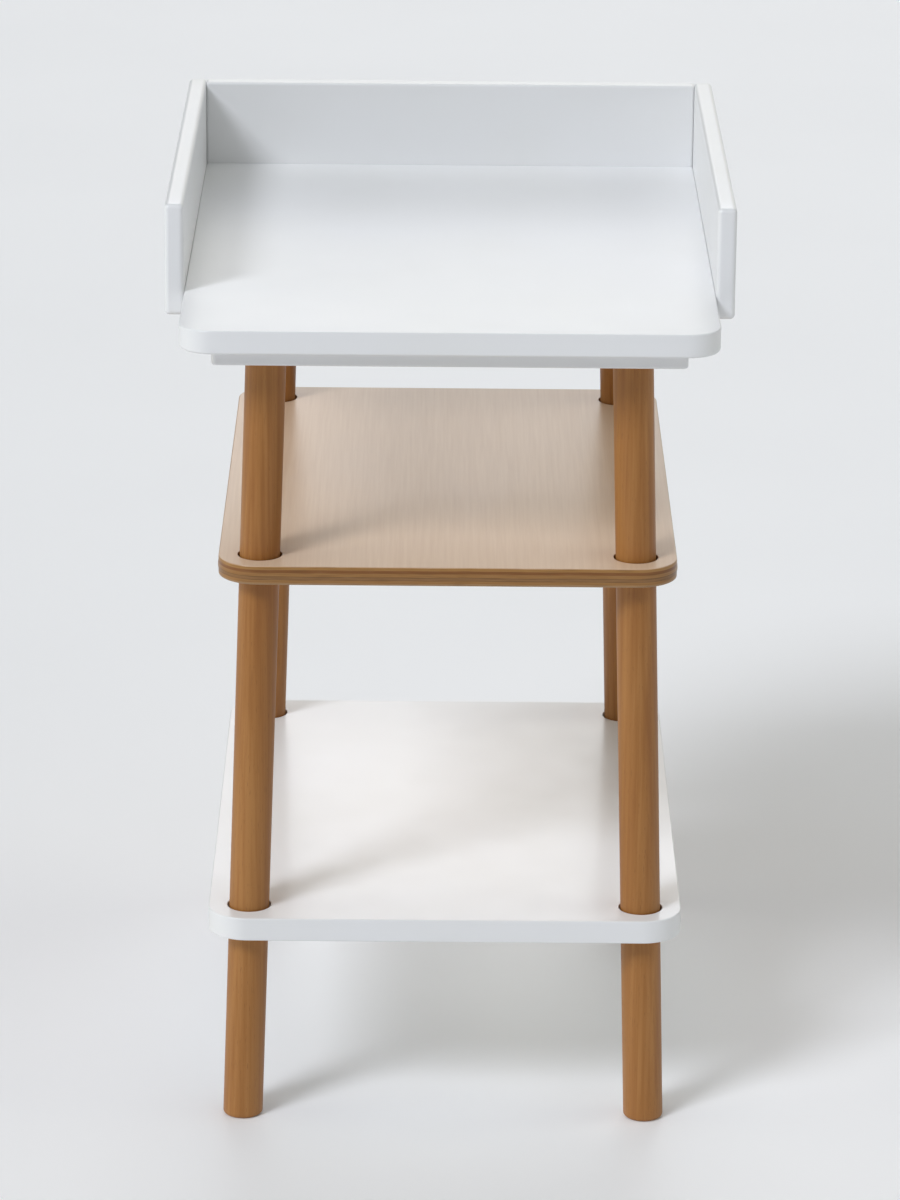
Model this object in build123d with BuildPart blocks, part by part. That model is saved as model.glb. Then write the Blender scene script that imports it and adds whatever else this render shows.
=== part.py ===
from build123d import *
from math import radians, tan
import os

# A changing table. A lacquered tray with three low walls is screwed to a mounting panel. Four
# round legs carry the panel, lean outwards both ways, and run down through a plywood shelf and
# a lacquered shelf to the floor.
# Millimetres. +X is to the right, +Y to the back, +Z up. The origin is on the floor, below the
# middle of the table.

# Legs
LEG_D = 42.0
LEG_LENGTH = 834.0  # floor to the cut top end
LEG_SPLAY = 1.75  # degrees, the same in X and in Y
LEG_FOOT_X = 213.5  # leg axis on the floor
LEG_FOOT_Y = 311.5
FOOT_ROUND = 4.0

# Tray
TRAY_W = 550.0
TRAY_D = 715.0
TRAY_T = 25.0
TRAY_CORNER_R = 35.0  # front corners only
WALL_T = 20.0
WALL_H = 118.0
SIDE_WALL_L = 585.0

# Mounting panel
PANEL_W = 485.0
PANEL_D = 680.0
PANEL_T = 19.0
PANEL_CORNER_R = 6.0

# Shelves
MIDDLE_TOP = 619.0
MIDDLE_T = 20.0
BOTTOM_TOP = 235.0
BOTTOM_T = 25.0
SHELF_INSET = 42.5  # leg axis to every edge of a shelf
SHELF_CORNER_R = 42.0
LEG_HOLE_D = 46.0

# Softened edges
SHELF_ROUND = 1.5
TRAY_TOP_ROUND = 1.5
LACQUER_ROUND = 3.0
SIDE_WALL_ROUND = 5.0

# Fixings
CLEARANCE = 0.1  # radial, between a fixing and its hole
DOWEL_D = 8.0
DOWEL_IN_BOARD = 18.0
DOWEL_IN_WALL = 12.0
DOWEL_CHAMFER = 1.0
SIDE_DOWELS = 4
SIDE_DOWEL_PITCH = 155.0
BACK_DOWELS = 3
BACK_DOWEL_PITCH = 200.0
CORNER_DOWELS = 2
CORNER_DOWEL_PITCH = 50.0
BOLT_D = 8.0
BOLT_LENGTH = 45.0
BOLT_HEAD_D = 13.0
BOLT_HEAD_T = 5.0
WASHER_D = 18.0
WASHER_T = 1.6
RECESS_D = 20.0  # for a washer and a bolt head
RECESS_DEPTH = 7.0
INSERT_D = 12.0
INSERT_L = 25.0
SCREW_D = 4.5
SCREW_HEAD_D = 9.0
SCREW_HEAD_ANGLE = 90.0
SCREW_HEAD_T = (SCREW_HEAD_D - SCREW_D) / 2 / tan(radians(SCREW_HEAD_ANGLE / 2))
SCREW_TIP = 5.0
SHELF_SCREW_L = 42.0
TRAY_SCREW_L = 36.0
TRAY_SCREWS_X = 2
TRAY_SCREW_PITCH_X = 300.0
TRAY_SCREWS_Y = 3
TRAY_SCREW_PITCH_Y = 220.0
CAP_D = 10.0
CAP_T = 3.0
CAP_CHAMFER = 0.5
SOCKET_R = 2.0  # hexagon socket, centre to corner
SOCKET_DEPTH = 2.0
HOLE_END = 1.0  # how much deeper a blind hole is than what it holds

# Worked out
TRAY_BOTTOM = LEG_LENGTH + PANEL_T
TRAY_MID = TRAY_BOTTOM + TRAY_T / 2
TRAY_FRONT_Y = -(TRAY_D + WALL_T) / 2
TRAY_BACK_Y = TRAY_FRONT_Y + TRAY_D
WALL_MID = TRAY_BOTTOM + WALL_H / 2
LEFT, RIGHT = -1, 1
FRONT, BACK = -1, 1
CORNERS = [(LEFT, FRONT), (RIGHT, FRONT), (LEFT, BACK), (RIGHT, BACK)]
SIDE_NAMES = {LEFT: "left", RIGHT: "right"}
DEPTH_NAMES = {FRONT: "front", BACK: "back"}

os.makedirs("parts", exist_ok=True)


def leg_point(side, depth, height):
    """The point of one leg's axis at a height above the floor."""
    lean = height * tan(radians(LEG_SPLAY))
    return Vector(side * (LEG_FOOT_X - lean), depth * (LEG_FOOT_Y - lean), height)


def leg_plane(side, depth, height):
    """The plane square to one leg's axis at a height above the floor."""
    axis = leg_point(side, depth, LEG_LENGTH) - leg_point(side, depth, 0)
    return Plane(origin=leg_point(side, depth, height), z_dir=axis)


def shelf_screw_planes(middle):
    """Where the screws enter a shelf: on its long edges, level with its middle, facing out."""
    planes = []
    for side, depth in CORNERS:
        leg = leg_point(side, depth, middle)
        origin = (leg.X + side * SHELF_INSET, leg.Y, middle)
        planes.append(Plane(origin=origin, z_dir=(side, 0, 0)))
    return planes


def row(count, pitch, middle=0.0):
    """Evenly spaced coordinates about a middle."""
    return [middle + pitch * (i - (count - 1) / 2) for i in range(count)]


def side_joint_planes(side):
    """Dowels between a side wall and the tray base, on the joint, facing out."""
    joint_middle = (TRAY_BACK_Y + TRAY_BACK_Y + WALL_T - SIDE_WALL_L) / 2
    return [
        Plane(origin=(side * TRAY_W / 2, y, TRAY_MID), z_dir=(side, 0, 0))
        for y in row(SIDE_DOWELS, SIDE_DOWEL_PITCH, joint_middle)
    ]


def corner_joint_planes(side):
    """Dowels between a side wall and the back wall's end, on the joint, facing out."""
    return [
        Plane(origin=(side * TRAY_W / 2, TRAY_BACK_Y + WALL_T / 2, z), z_dir=(side, 0, 0))
        for z in row(CORNER_DOWELS, CORNER_DOWEL_PITCH, WALL_MID)
    ]


def back_joint_planes():
    """Dowels between the back wall and the tray base, on the joint, facing back."""
    return [
        Plane(origin=(x, TRAY_BACK_Y, TRAY_MID), z_dir=(0, 1, 0))
        for x in row(BACK_DOWELS, BACK_DOWEL_PITCH)
    ]


def flipped(planes):
    """The same planes, facing the other way."""
    return [-plane for plane in planes]


def sunk(planes, distance):
    """The same planes, moved back along their normals."""
    return [plane.offset(-distance) for plane in planes]


def save(piece, name):
    """Label a finished piece and write it."""
    piece.part.label = name
    export_step(piece.part, f"parts/{name}.step")


LEG_TOP_PLANES = [
    Plane(origin=leg_point(side, depth, LEG_LENGTH), z_dir=(0, 0, 1)) for side, depth in CORNERS
]
PANEL_TOP_PLANES = [plane.offset(PANEL_T) for plane in LEG_TOP_PLANES]
TRAY_SCREW_PLANES = [
    Plane(origin=(x, y, LEG_LENGTH), z_dir=(0, 0, -1))
    for x in row(TRAY_SCREWS_X, TRAY_SCREW_PITCH_X)
    for y in row(TRAY_SCREWS_Y, TRAY_SCREW_PITCH_Y)
]
MIDDLE_SCREW_PLANES = shelf_screw_planes(MIDDLE_TOP - MIDDLE_T / 2)
BOTTOM_SCREW_PLANES = shelf_screw_planes(BOTTOM_TOP - BOTTOM_T / 2)


def make_leg(side, depth, name):
    """A round leg, cut level at both ends, with holes for its insert and its shelf screws."""
    with BuildPart() as leg:
        with BuildSketch(leg_plane(side, depth, LEG_LENGTH / 2)):
            Circle(LEG_D / 2)
        extrude(amount=LEG_LENGTH / 2 + LEG_D, both=True)
        split(bisect_by=Plane.XY, keep=Keep.TOP)
        split(bisect_by=Plane.XY.offset(LEG_LENGTH), keep=Keep.BOTTOM)
        fillet(leg.edges().group_by(Axis.Z)[0], FOOT_ROUND)
        corner = CORNERS.index((side, depth))
        with Locations(LEG_TOP_PLANES[corner]):
            Hole(INSERT_D / 2 + CLEARANCE, depth=BOLT_LENGTH - RECESS_DEPTH)
        with Locations(MIDDLE_SCREW_PLANES[corner], BOTTOM_SCREW_PLANES[corner]):
            Hole(SCREW_D / 2 + CLEARANCE, depth=CAP_T + SHELF_SCREW_L + HOLE_END)
    save(leg, name)


def make_shelf(top, thickness, screw_planes, name):
    """A shelf with rounded corners, round a hole for each leg, and a screw hole beside each."""
    middle = top - thickness / 2
    leg = leg_point(RIGHT, BACK, middle)
    with BuildPart() as shelf:
        with BuildSketch(Plane.XY.offset(top - thickness)):
            RectangleRounded(2 * (leg.X + SHELF_INSET), 2 * (leg.Y + SHELF_INSET), SHELF_CORNER_R)
        extrude(amount=thickness)
        fillet(shelf.edges().group_by(Axis.Z)[-1], SHELF_ROUND)
        fillet(shelf.edges().group_by(Axis.Z)[0], SHELF_ROUND)
        for side, depth in CORNERS:
            with BuildSketch(leg_plane(side, depth, middle)):
                Circle(LEG_HOLE_D / 2)
            extrude(amount=thickness, both=True, mode=Mode.SUBTRACT)
        with Locations(*screw_planes):
            CounterBoreHole(
                radius=SCREW_D / 2 + CLEARANCE,
                counter_bore_radius=CAP_D / 2 + CLEARANCE,
                counter_bore_depth=CAP_T + SCREW_HEAD_T,
                depth=SHELF_INSET,
            )
    save(shelf, name)


def make_turned(planes, outline, name, socket_depth=0.0):
    """Turned pieces, one on each plane, from an outline of (radius, height above the plane).
    A socket depth cuts a hexagon socket down from each plane."""
    with BuildPart() as pieces:
        for plane in planes:
            lengthwise = Plane(origin=plane.origin, x_dir=plane.x_dir, z_dir=-plane.y_dir)
            with BuildSketch(lengthwise):
                with BuildLine():
                    Polyline(*outline, close=True)
                make_face()
            revolve(axis=Axis(plane.origin, plane.z_dir))
            if socket_depth:
                with BuildSketch(plane):
                    RegularPolygon(SOCKET_R, 6)
                extrude(amount=-socket_depth, mode=Mode.SUBTRACT)
    save(pieces, name)


def make_side_wall(side, name):
    """A side wall, flush with the underside of the tray base, its back end flush with the back
    wall, with blind holes for its dowels."""
    with BuildPart() as wall:
        with BuildSketch(Plane.XY.offset(TRAY_BOTTOM)):
            with Locations((side * (TRAY_W + WALL_T) / 2, TRAY_BACK_Y + WALL_T)):
                Rectangle(WALL_T, SIDE_WALL_L, align=(Align.CENTER, Align.MAX))
        extrude(amount=WALL_H)
        fillet(wall.edges(), SIDE_WALL_ROUND)
        with Locations(*flipped(side_joint_planes(side) + corner_joint_planes(side))):
            Hole(DOWEL_D / 2 + CLEARANCE, depth=DOWEL_IN_WALL + HOLE_END)
    save(wall, name)


def screw_outline(length):
    """A countersunk screw: a cone under a flat head, a plain shank and a point."""
    return [
        (0, 0),
        (SCREW_HEAD_D / 2, 0),
        (SCREW_D / 2, -SCREW_HEAD_T),
        (SCREW_D / 2, SCREW_TIP - length),
        (0, -length),
    ]


# Legs
for side, depth in CORNERS:
    make_leg(side, depth, f"leg_{DEPTH_NAMES[depth]}_{SIDE_NAMES[side]}")

# Shelves
make_shelf(MIDDLE_TOP, MIDDLE_T, MIDDLE_SCREW_PLANES, "middle_shelf")
make_shelf(BOTTOM_TOP, BOTTOM_T, BOTTOM_SCREW_PLANES, "bottom_shelf")

# Mounting panel: recessed for the leg bolts on top, countersunk for the tray screws below
with BuildPart() as mounting_panel:
    with BuildSketch(Plane.XY.offset(LEG_LENGTH)):
        RectangleRounded(PANEL_W, PANEL_D, PANEL_CORNER_R)
    extrude(amount=PANEL_T)
    fillet(mounting_panel.edges().group_by(Axis.Z)[0], LACQUER_ROUND)
    with Locations(*PANEL_TOP_PLANES):
        CounterBoreHole(
            radius=BOLT_D / 2 + CLEARANCE,
            counter_bore_radius=RECESS_D / 2,
            counter_bore_depth=RECESS_DEPTH,
            depth=PANEL_T,
        )
    with Locations(*TRAY_SCREW_PLANES):
        CounterSinkHole(
            radius=SCREW_D / 2 + CLEARANCE,
            counter_sink_radius=SCREW_HEAD_D / 2 + CLEARANCE,
            counter_sink_angle=SCREW_HEAD_ANGLE,
            depth=PANEL_T,
        )
save(mounting_panel, "mounting_panel")

# Tray base: rounded at its two front corners, softened all round
with BuildPart() as tray_base:
    with BuildSketch(Plane.XY.offset(TRAY_BOTTOM)) as outline:
        with Locations((0, TRAY_FRONT_Y)):
            Rectangle(TRAY_W, TRAY_D, align=(Align.CENTER, Align.MIN))
        fillet(outline.vertices().group_by(Axis.Y)[0], TRAY_CORNER_R)
    extrude(amount=TRAY_T)
    fillet(tray_base.edges().group_by(Axis.Z)[-1], TRAY_TOP_ROUND)
    fillet(tray_base.edges().group_by(Axis.Z)[0], LACQUER_ROUND)
    with Locations(*side_joint_planes(LEFT), *side_joint_planes(RIGHT), *back_joint_planes()):
        Hole(DOWEL_D / 2 + CLEARANCE, depth=DOWEL_IN_BOARD + HOLE_END)
    with Locations(*TRAY_SCREW_PLANES):
        Hole(SCREW_D / 2 + CLEARANCE, depth=TRAY_SCREW_L + HOLE_END)
save(tray_base, "tray_base")

# Tray walls
for side in (LEFT, RIGHT):
    make_side_wall(side, f"tray_wall_{SIDE_NAMES[side]}")

with BuildPart() as tray_wall_back:
    with BuildSketch(Plane.XY.offset(TRAY_BOTTOM)):
        with Locations((0, TRAY_BACK_Y)):
            Rectangle(TRAY_W, WALL_T, align=(Align.CENTER, Align.MIN))
    extrude(amount=WALL_H)
    fillet(tray_wall_back.edges(), LACQUER_ROUND)
    with Locations(*flipped(back_joint_planes())):
        Hole(DOWEL_D / 2 + CLEARANCE, depth=DOWEL_IN_WALL + HOLE_END)
    with Locations(*corner_joint_planes(LEFT), *corner_joint_planes(RIGHT)):
        Hole(DOWEL_D / 2 + CLEARANCE, depth=DOWEL_IN_BOARD + HOLE_END)
save(tray_wall_back, "tray_wall_back")

# Dowels
dowel_planes = back_joint_planes()
for side in (LEFT, RIGHT):
    dowel_planes += side_joint_planes(side) + corner_joint_planes(side)
dowel_outline = [
    (0, DOWEL_IN_WALL),
    (DOWEL_D / 2 - DOWEL_CHAMFER, DOWEL_IN_WALL),
    (DOWEL_D / 2, DOWEL_IN_WALL - DOWEL_CHAMFER),
    (DOWEL_D / 2, DOWEL_CHAMFER - DOWEL_IN_BOARD),
    (DOWEL_D / 2 - DOWEL_CHAMFER, -DOWEL_IN_BOARD),
    (0, -DOWEL_IN_BOARD),
]
make_turned(dowel_planes, dowel_outline, "tray_wall_dowels")

# Leg bolts, washers and inserts
washer_outline = [
    (BOLT_D / 2 + CLEARANCE, 0),
    (WASHER_D / 2, 0),
    (WASHER_D / 2, WASHER_T),
    (BOLT_D / 2 + CLEARANCE, WASHER_T),
]
make_turned(sunk(PANEL_TOP_PLANES, RECESS_DEPTH), washer_outline, "leg_washers")

bolt_outline = [
    (0, 0),
    (BOLT_HEAD_D / 2, 0),
    (BOLT_HEAD_D / 2, -BOLT_HEAD_T),
    (BOLT_D / 2, -BOLT_HEAD_T),
    (BOLT_D / 2, -BOLT_HEAD_T - BOLT_LENGTH),
    (0, -BOLT_HEAD_T - BOLT_LENGTH),
]
bolt_top_planes = sunk(PANEL_TOP_PLANES, RECESS_DEPTH - WASHER_T - BOLT_HEAD_T)
make_turned(bolt_top_planes, bolt_outline, "leg_bolts", socket_depth=SOCKET_DEPTH)

insert_outline = [
    (BOLT_D / 2 + CLEARANCE, 0),
    (INSERT_D / 2, 0),
    (INSERT_D / 2, -INSERT_L),
    (BOLT_D / 2 + CLEARANCE, -INSERT_L),
]
make_turned(sunk(LEG_TOP_PLANES, HOLE_END), insert_outline, "leg_inserts")

# Screws and the caps over the shelf screws
make_turned(TRAY_SCREW_PLANES, screw_outline(TRAY_SCREW_L), "tray_screws", SOCKET_DEPTH)

cap_outline = [
    (0, 0),
    (CAP_D / 2 - CAP_CHAMFER, 0),
    (CAP_D / 2, -CAP_CHAMFER),
    (CAP_D / 2, -CAP_T),
    (0, -CAP_T),
]
for shelf_name, planes in (("middle", MIDDLE_SCREW_PLANES), ("bottom", BOTTOM_SCREW_PLANES)):
    seats = sunk(planes, CAP_T)
    make_turned(seats, screw_outline(SHELF_SCREW_L), f"{shelf_name}_shelf_screws", SOCKET_DEPTH)
    make_turned(planes, cap_outline, f"{shelf_name}_shelf_caps")
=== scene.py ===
# %% [markdown]
# # The looks of a changing table
# The design is already fixed: sizes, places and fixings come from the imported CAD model, which
# this script loads as its frame. What is left is what the eye meets. The boards and legs that
# show are built again here, each as one clean surface of quads worked out with numpy, and get
# finishes made of nodes. The board under the tray and the fixings hardly show, so they keep
# their CAD shape and only get a finish. Nothing is moved or resized.

# %% Load the frame
from math import cos, pi, radians, sin

import bmesh
import bpy
import numpy as np
from mathutils import Matrix, Vector


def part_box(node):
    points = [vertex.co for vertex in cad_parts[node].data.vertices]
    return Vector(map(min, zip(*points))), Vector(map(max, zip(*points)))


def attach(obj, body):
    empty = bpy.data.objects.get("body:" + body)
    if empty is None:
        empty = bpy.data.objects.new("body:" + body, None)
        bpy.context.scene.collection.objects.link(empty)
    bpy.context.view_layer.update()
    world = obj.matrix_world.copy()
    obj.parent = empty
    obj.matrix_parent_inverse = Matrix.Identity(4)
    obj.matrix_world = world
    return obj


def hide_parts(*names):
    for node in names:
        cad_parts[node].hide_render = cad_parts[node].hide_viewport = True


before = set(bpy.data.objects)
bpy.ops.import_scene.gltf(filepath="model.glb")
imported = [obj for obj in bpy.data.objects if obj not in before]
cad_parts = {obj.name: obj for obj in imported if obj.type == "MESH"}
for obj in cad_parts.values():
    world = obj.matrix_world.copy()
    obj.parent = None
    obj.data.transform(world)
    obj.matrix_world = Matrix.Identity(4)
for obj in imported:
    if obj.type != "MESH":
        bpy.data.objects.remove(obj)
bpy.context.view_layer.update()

# %% [markdown]
# ## The camera
# A long lens from far off keeps the sides of a product nearly parallel, which is how furniture
# is usually shown. The lens is given in millimetres on a sensor 36 mm long. The camera looks
# down a little, so that the changing surface and both shelves show. Three turns aim it: first
# the tilt of the picture itself, then the tip down, then the turn about the vertical.

# %% Set up the camera
CAMERA_AT = (-0.0156, -5.6521, 2.3369)
CAMERA_LENS = 163.11
CAMERA_SENSOR = 36
CAMERA_DOWN = radians(18.2426)
CAMERA_TURN = radians(0.1949)
CAMERA_TILT = radians(0.5281)

camera = bpy.data.objects.new("camera", bpy.data.cameras.new("camera"))
camera.data.lens = CAMERA_LENS
camera.data.sensor_width = CAMERA_SENSOR
camera.matrix_world = (
    Matrix.Translation(CAMERA_AT)
    @ Matrix.Rotation(-CAMERA_TURN, 4, "Z")
    @ Matrix.Rotation(pi / 2 - CAMERA_DOWN, 4, "X")
    @ Matrix.Rotation(CAMERA_TILT, 4, "Z")
)
bpy.context.scene.collection.objects.link(camera)
bpy.context.scene.camera = camera
print("Camera is", round(Vector(CAMERA_AT).length, 2), "m from the origin")

# %% [markdown]
# ## The light
# White boards show their shape only by small steps of tone, so the light is built up from
# several soft lamps round the table. The main one stands in front on the left and throws the
# shadow of the left wall across the tray, and a weaker one above it lifts the level faces. A
# low warm one on the left lights the sides of the legs, two behind brighten the tops, and weak
# ones on the right open up the shadows. Sun lamps do this well: their light is as strong at
# the back of the floor as at the front, and a wide disc makes it as soft as a large studio box
# would. A little even light from the room fills what no lamp reaches. Colours are shown
# plainly, without a film curve, so that white lacquer stays white.

# %% Set up the light
ROOM_LIGHT = 0.145
ROOM_WHITE = (1, 1, 1, 1)
# Each lamp: degrees round the table from the front towards the left, degrees up from the
# floor, light on a surface that faces it, width of its disc in degrees, colour.
LAMPS = {
    "main": (43, 42, 0.455, 18, (0.94, 0.98, 1.06)),
    "high front": (38, 60, 0.09, 30, (0.94, 0.98, 1.06)),
    "low left": (90, 12, 0.2, 36, (1.07, 1.05, 0.88)),
    "low back": (190, 14, 0.105, 40, (1.03, 1.02, 0.95)),
    "high back": (180, 35, 0.12, 36, (0.96, 0.98, 1.06)),
    "right": (270, 34, 0.13, 36, (1.02, 1.04, 0.94)),
    "right of the front": (315, 40, 0.06, 36, (0.95, 1.0, 1.04)),
}


def hang_lamp(name, round_table, up, light, disc, colour):
    """A sun lamp in its own direction, turned towards the table."""
    lamp = bpy.data.objects.new(name, bpy.data.lights.new(name, "SUN"))
    lamp.data.energy = pi * light
    lamp.data.angle = radians(disc)
    lamp.data.color = colour
    turn = radians(round_table)
    level = Vector((-sin(turn), -cos(turn), 0))
    towards_lamp = cos(radians(up)) * level + sin(radians(up)) * Vector((0, 0, 1))
    lamp.rotation_euler = towards_lamp.to_track_quat("Z", "Y").to_euler()
    bpy.context.scene.collection.objects.link(lamp)


for name, settings in LAMPS.items():
    hang_lamp(name, *settings)

room = bpy.data.worlds.new("room")
room.use_nodes = True
room_light = room.node_tree.nodes["Background"]
room_light.inputs["Color"].default_value = ROOM_WHITE
room_light.inputs["Strength"].default_value = ROOM_LIGHT
bpy.context.scene.world = room
bpy.context.scene.view_settings.view_transform = "Standard"
print("Set up", len(LAMPS), "lamps and a room light of", ROOM_LIGHT)

# %% [markdown]
# ## Helpers for finishes
# A finish is a small tree of nodes that ends in one Principled surface. Building a tree in
# Python takes two calls for each node, one to add it and one to link it, so one short helper
# does both: an input is either a plain value or the output of an earlier node.

# %% Helpers that add nodes
def start_finish(name):
    """A new material: its node tree, its Principled surface and its Object coordinates."""
    material = bpy.data.materials.new(name)
    material.use_nodes = True
    tree = material.node_tree
    surface = tree.nodes["Principled BSDF"]
    place = tree.nodes.new("ShaderNodeTexCoord").outputs["Object"]
    return material, tree, surface, place


def add(tree, kind, inputs, output=0, **settings):
    """Adds one node and gives back one of its outputs."""
    node = tree.nodes.new("ShaderNode" + kind)
    for name, value in settings.items():
        setattr(node, name, value)
    for name, value in inputs.items():
        connect(tree, node.inputs[name], value)
    return node.outputs[output]


def connect(tree, socket, value):
    """Links an earlier node's output to a socket, or sets the socket to a plain value."""
    if isinstance(value, bpy.types.NodeSocket):
        tree.links.new(value, socket)
    else:
        socket.default_value = value


print("Ready: start_finish, add and connect")

# %% [markdown]
# ## Patterns
# Every finish here is made from a few small patterns. All of them start from Object
# coordinates, which are metres in the table's own frame, so a pattern runs on through a whole
# board and its size is known: the lumps of a noise are about one metre over its scale. Images
# would need seams and a fixed sharpness, and these don't.

# %% Helpers for patterns
def noise(tree, place, scale, detail=2.0, roughness=0.5, stretch=(1, 1, 1)):
    """Cloudy noise from 0 to 1. A stretch below 1 makes it longer along that axis."""
    drawn_out = add(tree, "Mapping", {"Vector": place, "Scale": stretch})
    inputs = {"Vector": drawn_out, "Scale": scale, "Detail": detail, "Roughness": roughness}
    return add(tree, "TexNoise", inputs, "Fac")


def spread(tree, value, low, high, to_low=0.0, to_high=1.0):
    """Carries a value from one range to another, and stops at its ends."""
    inputs = {"Value": value, "From Min": low, "From Max": high}
    inputs |= {"To Min": to_low, "To Max": to_high}
    return add(tree, "MapRange", inputs, clamp=True)


def mix(tree, share, first, second):
    """Mixes two colours: share 0 is the first, share 1 the second."""
    node = tree.nodes.new("ShaderNodeMix")
    node.data_type = "RGBA"
    share_socket, first_socket, second_socket = (node.inputs[i] for i in (0, 6, 7))
    connect(tree, share_socket, share)
    connect(tree, first_socket, first)
    connect(tree, second_socket, second)
    return node.outputs[2]


def ramp(tree, value, stops):
    """A colour for each value from 0 to 1, read between the stops (position, colour)."""
    node = tree.nodes.new("ShaderNodeValToRGB")
    band = node.color_ramp
    for position, _ in stops[1:-1]:
        band.elements.new(position)
    for element, (position, colour) in zip(band.elements, stops):
        element.position = position
        element.color = (*colour, 1)
    connect(tree, node.inputs["Fac"], value)
    return node.outputs["Color"]


def relief(tree, height, depth):
    """Turns a height from 0 to 1 into a bump so many metres deep."""
    return add(tree, "Bump", {"Height": height, "Distance": depth, "Strength": 1}, "Normal")


print("Noise of scale 400 has lumps about", 1000 / 400, "mm across")

# %% [markdown]
# ## White lacquer
# The boards of the tray and the bottom shelf are fine fibreboard, sprayed white and rubbed to
# a satin. Sprayed lacquer is never quite flat: it dries with a faint orange peel of lumps two
# or three millimetres across, and its tone and gloss wander a little over a board. A flat
# white would look like paper, so all three are here, each so weak that it is felt, not seen.

# %% Make the white lacquer
MM = 0.001
WHITE = (0.89, 0.895, 0.903, 1)
WHITE_WARMER = (0.875, 0.878, 0.875, 1)
TONE_SCALE = 5
RUBBING_SCALE = 28
PEEL_SCALE = 420
PEEL_DEPTH = 0.02 * MM
SATIN = (0.29, 0.36)
CLEAR_COAT = 0.25
CLEAR_COAT_ROUGHNESS = 0.14


def make_white_lacquer():
    """Satin white lacquer on fibreboard."""
    material, tree, surface, place = start_finish("satin_white_lacquer")
    drift = spread(tree, noise(tree, place, TONE_SCALE), 0.35, 0.65)
    connect(tree, surface.inputs["Base Color"], mix(tree, drift, WHITE, WHITE_WARMER))
    rubbing = noise(tree, place, RUBBING_SCALE, detail=4)
    connect(tree, surface.inputs["Roughness"], spread(tree, rubbing, 0.3, 0.7, *SATIN))
    peel = noise(tree, place, PEEL_SCALE, detail=1)
    connect(tree, surface.inputs["Normal"], relief(tree, peel, PEEL_DEPTH))
    surface.inputs["Coat Weight"].default_value = CLEAR_COAT
    surface.inputs["Coat Roughness"].default_value = CLEAR_COAT_ROUGHNESS
    return material


white_lacquer = make_white_lacquer()
print("Made", white_lacquer.name)

# %% [markdown]
# ## Oiled hardwood
# The legs are turned from a honey brown hardwood and oiled. Wood is a solid, so its figure is
# a solid pattern too: noise drawn out along the leg, in three sizes. The widest gives slow
# changes of tone, the middle one the streaks of the grain, and the finest the short dark
# pores. Each leg stands elsewhere in the same noise, so no two legs are alike.

# %% Make the leg wood
WOOD_DARK = (0.315, 0.118, 0.020)
WOOD_MIDDLE = (0.37, 0.152, 0.031)
WOOD_LIGHT = (0.425, 0.19, 0.048)
WOOD_PORE = (0.16, 0.06, 0.014, 1)
LEG_TONE_SCALE = 16
STREAK_SCALE = 210
PORE_SCALE = 1500
STREAK_DEPTH = 0.03 * MM
OILED = (0.38, 0.5)


def make_leg_wood():
    """Honey brown oiled hardwood, its grain along Z."""
    material, tree, surface, place = start_finish("oiled_hardwood")
    tone = noise(tree, place, LEG_TONE_SCALE, detail=2, stretch=(1, 1, 0.15))
    along = (1, 1, 0.012)
    streaks = noise(tree, place, STREAK_SCALE, detail=4, roughness=0.55, stretch=along)
    grain = mix(tree, 0.55, tone, streaks)
    stops = [(0.38, WOOD_DARK), (0.5, WOOD_MIDDLE), (0.62, WOOD_LIGHT)]
    figure = ramp(tree, grain, stops)
    pores = noise(tree, place, PORE_SCALE, detail=1, stretch=(1, 1, 0.05))
    pore_mask = spread(tree, pores, 0.66, 0.76, 0.0, 0.5)
    connect(tree, surface.inputs["Base Color"], mix(tree, pore_mask, figure, WOOD_PORE))
    connect(tree, surface.inputs["Roughness"], spread(tree, streaks, 0.3, 0.7, *OILED))
    connect(tree, surface.inputs["Normal"], relief(tree, streaks, STREAK_DEPTH))
    return material


leg_wood = make_leg_wood()
print("Made", leg_wood.name)

# %% [markdown]
# ## Plywood
# The middle shelf is plywood under a clear matt lacquer. Plywood is a stack of veneers whose
# grain turns by a right angle from one to the next, and the finish is made the same way: the
# height inside the board says which veneer a point is in. Veneers that run along the edge show
# long grain, the ones between show darker end grain, and thin dark glue lines part some of
# them. The level faces are one veneer, so there the stack gives way to a long pale grain.

# %% Make the plywood
VENEER_PALE = (0.72, 0.54, 0.385)
VENEER_PINK = (0.64, 0.455, 0.31)
GLUE_LINE = (0.13, 0.055, 0.012)
EDGE_GOLD = (0.38, 0.185, 0.045)
EDGE_BROWN = (0.23, 0.08, 0.011)
EDGE_TAN = (0.34, 0.16, 0.04)
EDGE_GREY = (0.27, 0.13, 0.04)
EDGE_PALE = (0.37, 0.215, 0.095)
STACK = [
    (0.0, EDGE_PALE), (0.11, EDGE_PALE), (0.14, EDGE_TAN), (0.27, EDGE_TAN),
    (0.29, GLUE_LINE), (0.31, EDGE_GREY), (0.43, EDGE_GREY), (0.455, GLUE_LINE),
    (0.475, EDGE_TAN), (0.64, EDGE_TAN), (0.67, EDGE_BROWN), (0.80, EDGE_BROWN),
    (0.83, EDGE_GOLD), (0.95, EDGE_GOLD), (1.0, VENEER_PINK),
]
PLY_WANDER = 0.35 * MM
FIBRE_DEPTH = 0.008 * MM
CLEAR_MATT = (0.28, 0.33)
shelf_low, shelf_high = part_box("middle_shelf")


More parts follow.
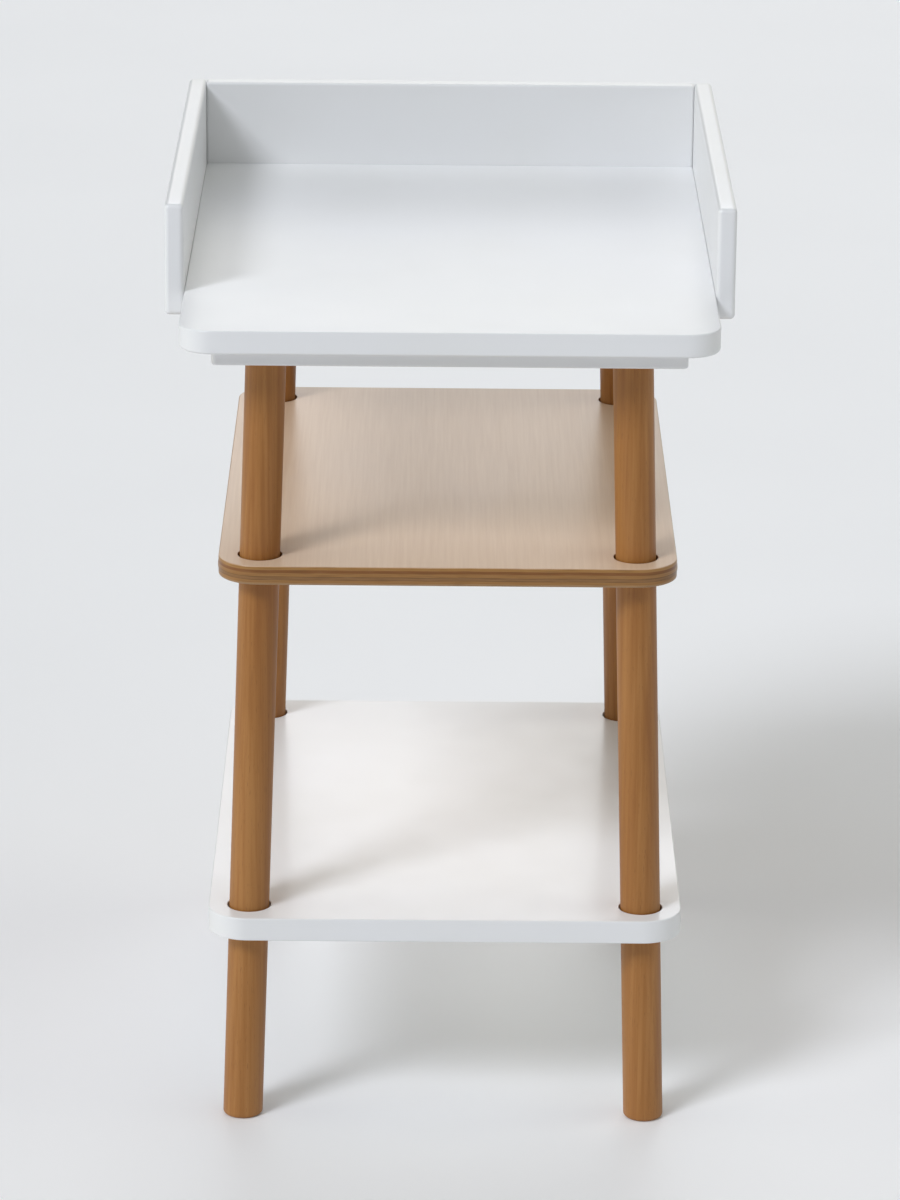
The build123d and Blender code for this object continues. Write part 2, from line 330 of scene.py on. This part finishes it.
def make_plywood():
    """Plywood, its veneers stacked along Z and its face grain along Y."""
    material, tree, surface, place = start_finish("clear_plywood")
    height = add(tree, "SeparateXYZ", {"Vector": place}, "Z")
    waves = noise(tree, place, 18, detail=1)
    wander = spread(tree, waves, 0.2, 0.8, -PLY_WANDER, PLY_WANDER)
    level = add(tree, "Math", {0: height, 1: wander}, operation="ADD")
    edge = ramp(tree, spread(tree, level, shelf_low.z, shelf_high.z), STACK)
    threads = noise(tree, place, 900, detail=3, stretch=(0.04, 0.04, 1))
    edge = mix(tree, spread(tree, threads, 0.5, 0.72, 0.0, 0.45), edge, (*GLUE_LINE, 1))
    edge = mix(tree, spread(tree, threads, 0.48, 0.3, 0.0, 0.3), edge, (*EDGE_PALE, 1))

    fibres = noise(tree, place, 340, detail=4, roughness=0.6, stretch=(1, 0.02, 1))
    cloud = noise(tree, place, 9, detail=3, stretch=(1, 0.35, 1))
    grain = mix(tree, 0.5, fibres, cloud)
    face = ramp(tree, grain, [(0.36, VENEER_PINK), (0.64, VENEER_PALE)])

    facing = add(tree, "NewGeometry", {}, "Normal")
    upright = add(tree, "SeparateXYZ", {"Vector": facing}, "Z")
    flat = spread(tree, add(tree, "Math", {0: upright}, operation="ABSOLUTE"), 0.75, 0.9)
    connect(tree, surface.inputs["Base Color"], mix(tree, flat, edge, face))
    connect(tree, surface.inputs["Roughness"], spread(tree, cloud, 0.35, 0.65, *CLEAR_MATT))
    connect(tree, surface.inputs["Normal"], relief(tree, fibres, FIBRE_DEPTH))
    return material


plywood = make_plywood()
print("Made", plywood.name, "for a board", round((shelf_high.z - shelf_low.z) / MM, 1), "mm thick")

# %% [markdown]
# ## Fixings
# Screws, bolts, washers and inserts are bright zinc plated steel, and the dowels are raw
# beech. They are nearly all hidden, but a table taken apart, or seen from below, shows them.
# Small moulded caps in the colour of each shelf close its screw holes. These are small things,
# so a cloud or two of tone and a little relief are enough for each.

# %% Make the finishes of the fixings
ZINC = (0.62, 0.63, 0.65, 1)
ZINC_CLOUDED = (0.50, 0.50, 0.49, 1)
ZINC_GLOSS = (0.25, 0.4)
BEECH_DARK = (0.62, 0.45, 0.28)
BEECH_LIGHT = (0.78, 0.62, 0.43)
BEECH_DEPTH = 0.05 * MM
CAP_DEPTH = 0.02 * MM


def make_plated_steel():
    """Bright zinc plate, a little cloudy."""
    material, tree, surface, place = start_finish("zinc_plate")
    cloud = spread(tree, noise(tree, place, 160, detail=4), 0.35, 0.65)
    connect(tree, surface.inputs["Base Color"], mix(tree, cloud, ZINC, ZINC_CLOUDED))
    connect(tree, surface.inputs["Roughness"], spread(tree, cloud, 0, 1, *ZINC_GLOSS))
    surface.inputs["Metallic"].default_value = 1
    return material


def make_dowel_wood():
    """Raw beech, with its short dark and pale flecks."""
    material, tree, surface, place = start_finish("raw_beech")
    grain = noise(tree, place, 300, detail=4)
    tones = ramp(tree, grain, [(0.35, BEECH_DARK), (0.65, BEECH_LIGHT)])
    connect(tree, surface.inputs["Base Color"], tones)
    connect(tree, surface.inputs["Normal"], relief(tree, grain, BEECH_DEPTH))
    surface.inputs["Roughness"].default_value = 0.7
    return material


def make_cap_plastic(name, colour, paler):
    """Finely textured moulded plastic."""
    material, tree, surface, place = start_finish(name)
    cloud = noise(tree, place, 200, detail=3)
    connect(tree, surface.inputs["Base Color"], mix(tree, cloud, colour, paler))
    texture = noise(tree, place, 2500, detail=2)
    connect(tree, surface.inputs["Normal"], relief(tree, texture, CAP_DEPTH))
    surface.inputs["Roughness"].default_value = 0.5
    return material


plated_steel = make_plated_steel()
dowel_wood = make_dowel_wood()
white_cap = make_cap_plastic("white_plastic", (0.80, 0.81, 0.82, 1), (0.86, 0.865, 0.87, 1))
brown_cap = make_cap_plastic("brown_plastic", (0.36, 0.20, 0.09, 1), (0.44, 0.26, 0.13, 1))
print("Made", plated_steel.name, dowel_wood.name, white_cap.name, "and", brown_cap.name)

# %% [markdown]
# ## Pieces that keep their CAD shape
# The fixings and the mounting panel, the board that the legs carry under the tray, are loaded
# with the frame, already cut and in place. Only the material in each one's slots is changed.

# %% Finish the pieces that keep their CAD shape
CAD_FINISHES = {
    "tray_wall_dowels": dowel_wood,
    "tray_screws": plated_steel,
    "leg_bolts": plated_steel,
    "leg_washers": plated_steel,
    "leg_inserts": plated_steel,
    "middle_shelf_screws": plated_steel,
    "bottom_shelf_screws": plated_steel,
    "mounting_panel": white_lacquer,
}
for node, finish in CAD_FINISHES.items():
    for material_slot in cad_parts[node].material_slots:
        material_slot.material = finish
    print(node, "keeps its CAD shape, in", finish.name)

# %% [markdown]
# ## From arrays to a piece
# Each new surface is a grid: rows of points carried from one side of the piece to the other,
# each row a closed line round it. numpy works out all the points at once, and the quads
# between them are the same for every grid, so one helper lists them. At a pole a whole row
# falls on one point. Merging points at the same place closes it and turns its quads into
# triangles. Edges sharper than a limit stay sharp, and all others are shaded smooth.

# %% Helpers that make a mesh
MERGE = 0.001 * MM
SHARPEST_SMOOTH = radians(38)


def grid_quads(rows, columns, close_rows=False):
    """The quads of a grid of points that closes round its columns, and round its rows if
    asked. Each quad is a point, the next one along, and the two above them."""
    row = np.arange(rows if close_rows else rows - 1)[:, None]
    column = np.arange(columns)[None, :]
    above, along = (row + 1) % rows, (column + 1) % columns
    corners = (row * columns + column, row * columns + along)
    corners += (above * columns + along, above * columns + column)
    return np.stack(corners, axis=-1)


def make_piece(name, points, quads, finish, slot, *replaced):
    """A closed piece from arrays: merged, facing outwards, shaded, riding on the table."""
    mesh = bpy.data.meshes.new(name)
    mesh.from_pydata(points.reshape(-1, 3), [], quads.reshape(-1, 4))
    whole = bmesh.new()
    whole.from_mesh(mesh)
    bmesh.ops.remove_doubles(whole, verts=whole.verts, dist=MERGE)
    loose = [vertex for vertex in whole.verts if not vertex.link_faces]
    bmesh.ops.delete(whole, geom=loose, context="VERTS")
    bmesh.ops.recalc_face_normals(whole, faces=whole.faces)
    open_edges = sum(not edge.is_manifold for edge in whole.edges)
    whole.to_mesh(mesh)
    whole.free()
    mesh.polygons.foreach_set("use_smooth", np.ones(len(mesh.polygons), bool))
    mesh.set_sharp_from_angle(angle=SHARPEST_SMOOTH)
    mesh.materials.append(finish)
    piece = bpy.data.objects.new(name, mesh)
    bpy.context.scene.collection.objects.link(piece)
    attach(piece, "root")
    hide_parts(*replaced)
    print(name, "has", len(mesh.polygons), "faces and", open_edges, "open edges")


print("Ready: grid_quads and make_piece, which merges points within", MERGE, "m")

# %% [markdown]
# ## Boards
# A board is one outline carried along one profile. The outline is a rectangle with an arc at
# each corner. The profile starts in the middle of the lower face, runs out to the edge, turns
# up round it and comes back to the middle of the upper face, so every row of the grid is the
# outline, drawn in by some inset and shrunk by some share. A Bevel modifier could round the
# edges too, but here each edge can have its own radius. Each rounded edge has a narrow row of
# faces beside it on the flat, which keeps the shading of the flat face truly flat.

# %% Helpers for boards
ARC_STEPS = 8
SIDE_STEPS = 14
TO_MIDDLE = [1, 0.75, 0.5, 0.25, 0]
BESIDE = 0.4 * MM


def outline(width, depth, radii, inset):
    """A rectangle about the origin, counter-clockwise from its low corner, drawn in by an
    inset. Each corner is a quarter circle about a point that stays put while the inset is
    smaller than its radius: the circle's radius is the corner's less the inset."""
    corner = np.array([(-1, -1), (1, -1), (1, 1), (-1, 1)])
    reach = np.maximum(radii, inset)[:, None]
    middle = corner * (np.array([width, depth]) / 2 - reach)
    start = pi + pi / 2 * np.arange(4)[:, None]
    angle = start + np.linspace(0, pi / 2, ARC_STEPS + 1)[None, :]
    circle = np.stack([np.cos(angle), np.sin(angle)], axis=-1)
    arcs = middle[:, None, :] + (reach - inset)[:, None, :] * circle
    share = np.linspace(0, 1, SIDE_STEPS + 1)[1:-1][None, :, None]
    sides = arcs[:, -1:, :] * (1 - share) + np.roll(arcs, -1, axis=0)[:, :1, :] * share
    return np.concatenate([arcs, sides], axis=1).reshape(-1, 2)


def edge_profile(thickness, low_round, high_round):
    """Rows of (share, inset, height) from the middle of the lower face to the middle of the
    upper one. Each rounded edge is a quarter circle of its own radius."""
    turn = np.linspace(0, pi / 2, ARC_STEPS + 1)
    whole = np.ones_like(turn)
    rows = [(share, low_round + BESIDE, 0) for share in TO_MIDDLE[::-1]]
    rows += list(zip(whole, low_round * (1 - np.sin(turn)), low_round * (1 - np.cos(turn))))
    rows += [(1, 0, low_round + BESIDE), (1, 0, thickness - high_round - BESIDE)]
    turn = turn[::-1]
    rise = thickness - high_round * (1 - np.cos(turn))
    rows += list(zip(whole, high_round * (1 - np.sin(turn)), rise))
    rows += [(share, high_round + BESIDE, thickness) for share in TO_MIDDLE]
    return rows


rows_in_profile = len(edge_profile(20 * MM, MM, MM))
print("Ready: outline and edge_profile, whose profile has", rows_in_profile, "rows")

# %% [markdown]
# ### A board that stands or lies
# The tray base lies flat and the walls stand on edge. Rather than three versions of the same
# shape, every board is worked out lying flat and its axes are then changed round in a ring,
# which moves it to another plane without turning it inside out.

# %% Helper for a board in any plane
def board(low, high, thin_axis, radii, low_round, high_round):
    """The grid of a board between two corners of a box, thin along one axis (0 is X, 1 is Y,
    2 is Z): each row is an outline times its share, moved to the middle, at its height."""
    order = [(thin_axis + 1) % 3, (thin_axis + 2) % 3, thin_axis]
    low, size = np.array(low), np.array(high) - np.array(low)
    width, depth, thickness = size[order]
    rows = []
    for share, inset, height in edge_profile(thickness, low_round, high_round):
        ring = outline(width, depth, np.array(radii), inset) * share
        ring += np.array([width, depth]) / 2
        rows.append(np.column_stack([ring, np.full(len(ring), height)]))
    flat = np.stack(rows)
    points = np.empty_like(flat)
    points[..., order] = flat
    return points + low, grid_quads(*flat.shape[:2])


print("Ready: board")

# %% [markdown]
# ## The tray
# The tray is a base board with three low walls round it. The base has two rounded corners at
# the front and square ones at the back, where the walls hide them. Its upper edge is only just
# broken, so it catches a thin bright line, and its lower edge is rounder. Each wall is a plain
# board on edge. The side walls are the ones a hand meets, so they are softened most.

# %% Make the tray
LACQUER_ROUND = 3 * MM
TRAY_TOP_ROUND = 1.5 * MM
TRAY_CORNER = 35 * MM
WALLS = {
    "tray_wall_left": (0, 5 * MM),
    "tray_wall_right": (0, 5 * MM),
    "tray_wall_back": (1, LACQUER_ROUND),
}

corners = [TRAY_CORNER] * 2 + [0] * 2
points, quads = board(*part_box("tray_base"), 2, corners, LACQUER_ROUND, TRAY_TOP_ROUND)
make_piece("tray_base_board", points, quads, white_lacquer, "white_lacquer", "tray_base")
for node, (thin_axis, softness) in WALLS.items():
    points, quads = board(*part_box(node), thin_axis, [softness] * 4, softness, softness)
    make_piece(node + "_board", points, quads, white_lacquer, "white_lacquer", node)

# %% [markdown]
# ## The legs
# A leg is a round bar that leans outwards both ways and is cut level at both ends, so it is
# not turned about its own middle line: a level cut through a leaning bar is an ellipse. Each
# row of the grid is such a level cut, its middle on the leg's line at that height. The ends
# of that line are measured on the CAD leg. The foot's rim is rounded so that it doesn't chip.

# %% Helpers for the legs
FOOT_ROUND = 4 * MM
ROUND_STEPS = 96
LEG_ROWS = 30
SOLE_SHARES = [0, 0.5, 0.97]
TOP_SHARES = [0.5, 0]


def leg_line(node):
    """The middle of a leg's lower end and the middle of its upper end, and its radius, all
    measured on the CAD leg: the upper end is an ellipse, wider by the leg's lean."""
    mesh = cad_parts[node].data
    places = np.empty(len(mesh.vertices) * 3)
    mesh.vertices.foreach_get("co", places)
    places = places.reshape(-1, 3)
    ends = []
    for height in (places[:, 2].min(), places[:, 2].max()):
        ring = places[np.abs(places[:, 2] - height) < MERGE]
        ends.append((ring.min(axis=0) + ring.max(axis=0)) / 2)
    wide = np.ptp(ring[:, 0]) / 2
    lean = (ends[1] - ends[0]) / np.linalg.norm(ends[1] - ends[0])
    return ends[0], ends[1], wide * np.sqrt(1 - lean[0] ** 2)


def level_cut(foot, top, radius, angle, height):
    """Points on a leaning round bar at given heights, in given directions from its middle.
    The distance is the radius over the root of 1 less the square of how far the bar's line
    points that way, which is the ellipse that a level cut makes."""
    line = (top - foot) / (top - foot)[2]
    lean = line / np.linalg.norm(line)
    towards = lean[0] * np.cos(angle) + lean[1] * np.sin(angle)
    distance = radius / np.sqrt(1 - towards**2)
    middle = foot + line * (height - foot[2])[..., None]
    across = np.stack([np.cos(angle), np.sin(angle), 0 * angle], axis=-1)
    return middle + across * distance[..., None]


def leg(node):
    """The grid of a leg: rows of level cuts from the middle of its sole, round the rim of
    the foot, up to the middle of its top. A row's reach is its share of the radius less its
    inset."""
    foot, top, radius = leg_line(node)
    turn = np.linspace(0, pi / 2, ARC_STEPS + 1)
    up = np.linspace(2 * FOOT_ROUND, top[2], LEG_ROWS)
    sole, lid = np.ones(len(SOLE_SHARES)), np.ones(len(TOP_SHARES))
    share = np.concatenate([SOLE_SHARES, np.ones(len(turn) + len(up)), TOP_SHARES])
    rim_inset, rim_height = FOOT_ROUND * (1 - np.sin(turn)), FOOT_ROUND * (1 - np.cos(turn))
    inset = np.concatenate([FOOT_ROUND * sole, rim_inset, 0 * up, 0 * lid])
    height = np.concatenate([0 * sole, rim_height, up, top[2] * lid])
    angle = np.linspace(0, 2 * pi, ROUND_STEPS, endpoint=False)
    reach, angle = np.meshgrid(share * (radius - inset), angle, indexing="ij")
    points = level_cut(foot, top, reach, angle, height[:, None] + 0 * reach)
    return points, grid_quads(*reach.shape)


print("Ready: leg_line, level_cut and leg")

# %% Make the legs
LEGS = ["leg_front_left", "leg_front_right", "leg_back_left", "leg_back_right"]
for node in LEGS:
    points, quads = leg(node)
    make_piece(node + "_bar", points, quads, leg_wood, "leg_wood", node)
print("A leg is", round(2 * leg_line(LEGS[0])[2] / MM, 1), "mm thick")

# %% [markdown]
# ## The shelves
# A shelf has a round hole for each leg, drilled along the leg's lean. A plain grid has no
# holes, so the shelf is made as four quarters, each a surface ruled between its hole and the
# quarter's border. Rays from the middle of the hole find the border: the two outer edges, the
# rounded corner, and the two lines where the quarters meet. Round each ray runs one closed
# profile: up the hole's wall, out over the upper face, down round the outer edge and back
# under the lower face. Where a ray ends on an inner line there is no outer edge, and the
# next quarter carries on. Mirroring one quarter gives the other three. Cutting the holes with
# a Boolean would be shorter, but it leaves long thin faces that shade badly.

# %% Helper for the border of a quarter
RAYS = 120


def quarter_border(middle, half_width, half_depth, corner):
    """Where rays from a point meet the border of a quarter from (0, 0) to the outer edges,
    and which way the edge faces there: nothing on the two inner lines. A ray goes as far as
    the nearest side, whose distance is divided by how far the ray points that way, and to
    the corner's arc as far as the greater root of a square equation. Rays are evenly
    turned, and one more goes exactly to each corner of the border and end of the arc."""
    keys = [(half_width, 0), (half_width, half_depth - corner), (half_width - corner, half_depth)]
    keys += [(0, half_depth), (0, 0)]
    exact = np.arctan2(*(np.array(keys) - middle).T[::-1]) % (2 * pi)
    even = np.linspace(0, 2 * pi, RAYS, endpoint=False)
    gap = np.abs((even[:, None] - exact[None, :] + pi) % (2 * pi) - pi).min(axis=1)
    angle = np.sort(np.concatenate([even[gap > pi / RAYS / 2], exact]))
    way = np.column_stack([np.cos(angle), np.sin(angle)])
    with np.errstate(divide="ignore"):
        outer = np.where(way > 0, (np.array([half_width, half_depth]) - middle) / way, np.inf)
        inner = np.where(way < 0, (0 - middle) / way, np.inf)
    border = middle + way * np.minimum(outer, inner).min(axis=1)[:, None]
    arc_middle = np.array([half_width, half_depth]) - corner
    back = middle - arc_middle
    half = way @ back
    reach = -half + np.sqrt(half**2 - back @ back + corner**2)
    on_arc = (border > arc_middle + MERGE).all(axis=1)
    border[on_arc] = (middle + way * reach[:, None])[on_arc]
    facing = (np.abs(border - [half_width, half_depth]) < MERGE).astype(float)
    facing[on_arc] = (border[on_arc] - arc_middle) / corner
    return angle, border, facing


print("Ready: quarter_border, with about", RAYS, "rays")

# %% [markdown]
# ### One quarter of a shelf
# The closed profile is written as rings, each one point on every ray at once. Rings of the
# hole lie on the slanting bore and rings of the edge lie on the border, drawn in by an inset
# where the edge is rounded. The rings of the level faces lie between the two.

# %% Helpers for the rings of a shelf
HOLE_RADIUS = 23 * MM
HOLE_ARRIS = 0.5 * MM
HOLE_ARRIS_STEPS = 3
FACE_SHARES = [0.15, 0.35, 0.6, 0.8]


def hole_ring(line, angle, height, flare):
    """A level cut through the bore of a hole, wider by a flare."""
    reach = np.full(len(angle), HOLE_RADIUS + flare)
    return level_cut(*line, reach, angle, np.full(len(angle), height))


def edge_ring(border, facing, height, inset):
    """The border at a height, less an inset along the way the edge faces."""
    return np.column_stack([border - facing * inset, np.full(len(border), height)])


def face_rings(inner_ring, outer_ring):
    """Rings across a level face, each the inner ring plus its share of the span to the
    outer one: one beside each of its rims, and some between them."""
    span = outer_ring - inner_ring
    length = np.linalg.norm(span, axis=1)[:, None]
    near, far = BESIDE / length, 1 - BESIDE / length
    shares = [near] + [near + (far - near) * share for share in FACE_SHARES] + [far]
    return [inner_ring + span * share for share in shares]


print("Ready: hole_ring, edge_ring and face_rings")

# %% Helper for one quarter of a shelf
SHELF_CORNER = 42 * MM
SHELF_ROUND = 1.5 * MM


def shelf_quarter(low, high, hole_foot, hole_top):
    """The grid of one quarter of a shelf, and its quads. The rows are the rings of the
    profile, the columns are the rays. Each rounding is a quarter circle: its drop is the
    radius times 1 less the cosine of the turn, its inset is the same with the sine."""
    line = (hole_foot, hole_top)
    slope = (hole_top - hole_foot) / (hole_top - hole_foot)[2]
    middle = (hole_foot + slope * (low.z + high.z) / 2)[:2]
    angle, border, facing = quarter_border(middle, high.x, high.y, SHELF_CORNER)

    turn = np.linspace(0, pi / 2, HOLE_ARRIS_STEPS + 1)
    flare, drop = HOLE_ARRIS * (1 - np.cos(turn)), HOLE_ARRIS * (1 - np.sin(turn))
    arris = list(zip(drop, flare))
    beside = HOLE_ARRIS + BESIDE
    walls = [hole_ring(line, angle, height, 0) for height in (low.z + beside, high.z - beside)]
    rise = [hole_ring(line, angle, high.z - down, wider) for down, wider in arris]
    fall = [hole_ring(line, angle, low.z + up, wider) for up, wider in arris[::-1]]

    turn = np.linspace(0, pi / 2, ARC_STEPS + 1)
    drop, inset = SHELF_ROUND * (1 - np.cos(turn)), SHELF_ROUND * (1 - np.sin(turn))
    rounding = list(zip(drop, inset))
    beside = SHELF_ROUND + BESIDE
    side = [edge_ring(border, facing, high.z - down, back) for down, back in rounding]
    side += [edge_ring(border, facing, height, 0) for height in (high.z - beside, low.z + beside)]
    side += [edge_ring(border, facing, low.z + up, back) for up, back in rounding[::-1]]

    upper_face = face_rings(rise[-1], side[0])
    lower_face = face_rings(fall[0], side[-1])
    points = np.stack(walls + rise + upper_face + side + lower_face[::-1] + fall)
    quads = grid_quads(*points.shape[:2], close_rows=True)
    outer = np.abs(facing).sum(axis=1) > 0
    first_side = len(walls + rise + upper_face)
    past_border = np.zeros(quads.shape[:2], bool)
    past_border[first_side : first_side + len(side) - 1] = ~(outer & np.roll(outer, -1))
    return points, quads[~past_border]


print("Ready: shelf_quarter")

# %% [markdown]
# ### From one quarter to a shelf
# A mirror turns a shape inside out, because it swaps left and right. Listing the corners of
# each quad the other way round turns it back. Two mirrors cancel each other, so only the two
# images that are mirrored once need it.

# %% Make the shelves
def four_quarters(points, quads):
    """One quarter and its three mirror images, as one set of points and quads. A mirror
    changes the sign of X or Y, and an image with one such change has its quads listed
    backwards, so that they still face out."""
    all_points, all_quads = [], []
    for side, depth in ((1, 1), (-1, 1), (-1, -1), (1, -1)):
        all_quads.append(quads[:, :: side * depth] + len(all_points) * points[..., 0].size)
        all_points.append((points * [side, depth, 1]).reshape(-1, 3))
    return np.concatenate(all_points), np.concatenate(all_quads)


SHELF_FINISHES = {
    "middle_shelf": (plywood, "plywood"),
    "bottom_shelf": (white_lacquer, "white_lacquer"),
}
leg_foot, leg_top, _ = leg_line("leg_back_right")
for node, (finish, slot) in SHELF_FINISHES.items():
    points, quads = shelf_quarter(*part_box(node), leg_foot, leg_top)
    points, quads = four_quarters(points, quads)
    make_piece(node + "_board", points, quads, finish, slot, node)

# %% [markdown]
# ## Screw caps
# A small moulded cap closes each screw hole in the long edges of the shelves. It is a turned
# shape: a low dome whose rim rolls over into a short plug. Its middle is measured on the CAD
# cap, and the profile is turned about the X axis.

# %% Make the caps
CAP_RADIUS = 5 * MM
CAP_DOME = 0.5 * MM
CAP_RIM = 0.3 * MM
CAP_DEEP = 2.5 * MM
CAP_STEPS = 40
DOME_SHARES = np.array([0, 0.25, 0.5, 0.7, 0.85, 0.95, 1])
PLUG_SHARES = [1, 1, 0.5, 0]


def cap_grid(middle, side):
    """One cap: the profile (radius, distance outwards) turned about an axis along X. The
    dome's height falls with the square of the radius, from the dome's height to nothing."""
    radius = CAP_RADIUS * np.concatenate([DOME_SHARES, PLUG_SHARES])
    dome = CAP_DOME * (1 - DOME_SHARES**2)
    outwards = np.concatenate([dome, [-CAP_RIM, -CAP_DEEP, -CAP_DEEP, -CAP_DEEP]])
    angle = np.linspace(0, 2 * pi, CAP_STEPS, endpoint=False)
    x = middle[0] + side * outwards[:, None] + 0 * angle
    y = middle[1] + radius[:, None] * np.cos(angle)
    z = middle[2] + radius[:, None] * np.sin(angle)
    return np.stack([x, y, z], axis=-1)


def caps(node, finish, slot):
    """The four caps of one shelf as one piece: one grid, made at each corner of the box."""
    low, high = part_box(node)
    grids = []
    for side in (-1, 1):
        for depth in (-1, 1):
            y = depth * (high.y - CAP_RADIUS)
            grids.append(cap_grid((side * high.x, y, (low.z + high.z) / 2), side))
    shape = grids[0].shape[:2]
    quads = grid_quads(*shape).reshape(-1, 4)
    quads = np.concatenate([quads + i * shape[0] * shape[1] for i in range(len(grids))])
    make_piece(node + "_domed", np.concatenate(grids), quads, finish, slot, node)


caps("middle_shelf_caps", brown_cap, "brown_cap")
caps("bottom_shelf_caps", white_cap, "white_cap")

# %% [markdown]
# ## The floor
# The floor is a plain pale sheet, so large that its far edge is out of the picture. It catches
# the soft shadows that tell the eye where the table stands, and it throws light back up under
# the shelves. Like real studio board it is a little uneven in tone and has a slight sheen.

# %% Make the floor
FLOOR_HALF = 30.0
FLOOR_PALE = (0.96, 0.96, 0.96, 1)
FLOOR_UNEVEN = (0.945, 0.945, 0.945, 1)


def make_floor():
    """A large flat sheet with a pale satin finish."""
    corners = [(-1, -1, 0), (1, -1, 0), (1, 1, 0), (-1, 1, 0)]
    mesh = bpy.data.meshes.new("floor")
    mesh.from_pydata(FLOOR_HALF * np.array(corners), [], [(0, 1, 2, 3)])
    material, tree, surface, place = start_finish("pale_floor")
    clouds = spread(tree, noise(tree, place, 2), 0.35, 0.65)
    connect(tree, surface.inputs["Base Color"], mix(tree, clouds, FLOOR_PALE, FLOOR_UNEVEN))
    surface.inputs["Roughness"].default_value = 0.5
    mesh.materials.append(material)
    floor = bpy.data.objects.new("floor", mesh)
    bpy.context.scene.collection.objects.link(floor)


make_floor()
print("The floor is", 2 * FLOOR_HALF, "m wide")
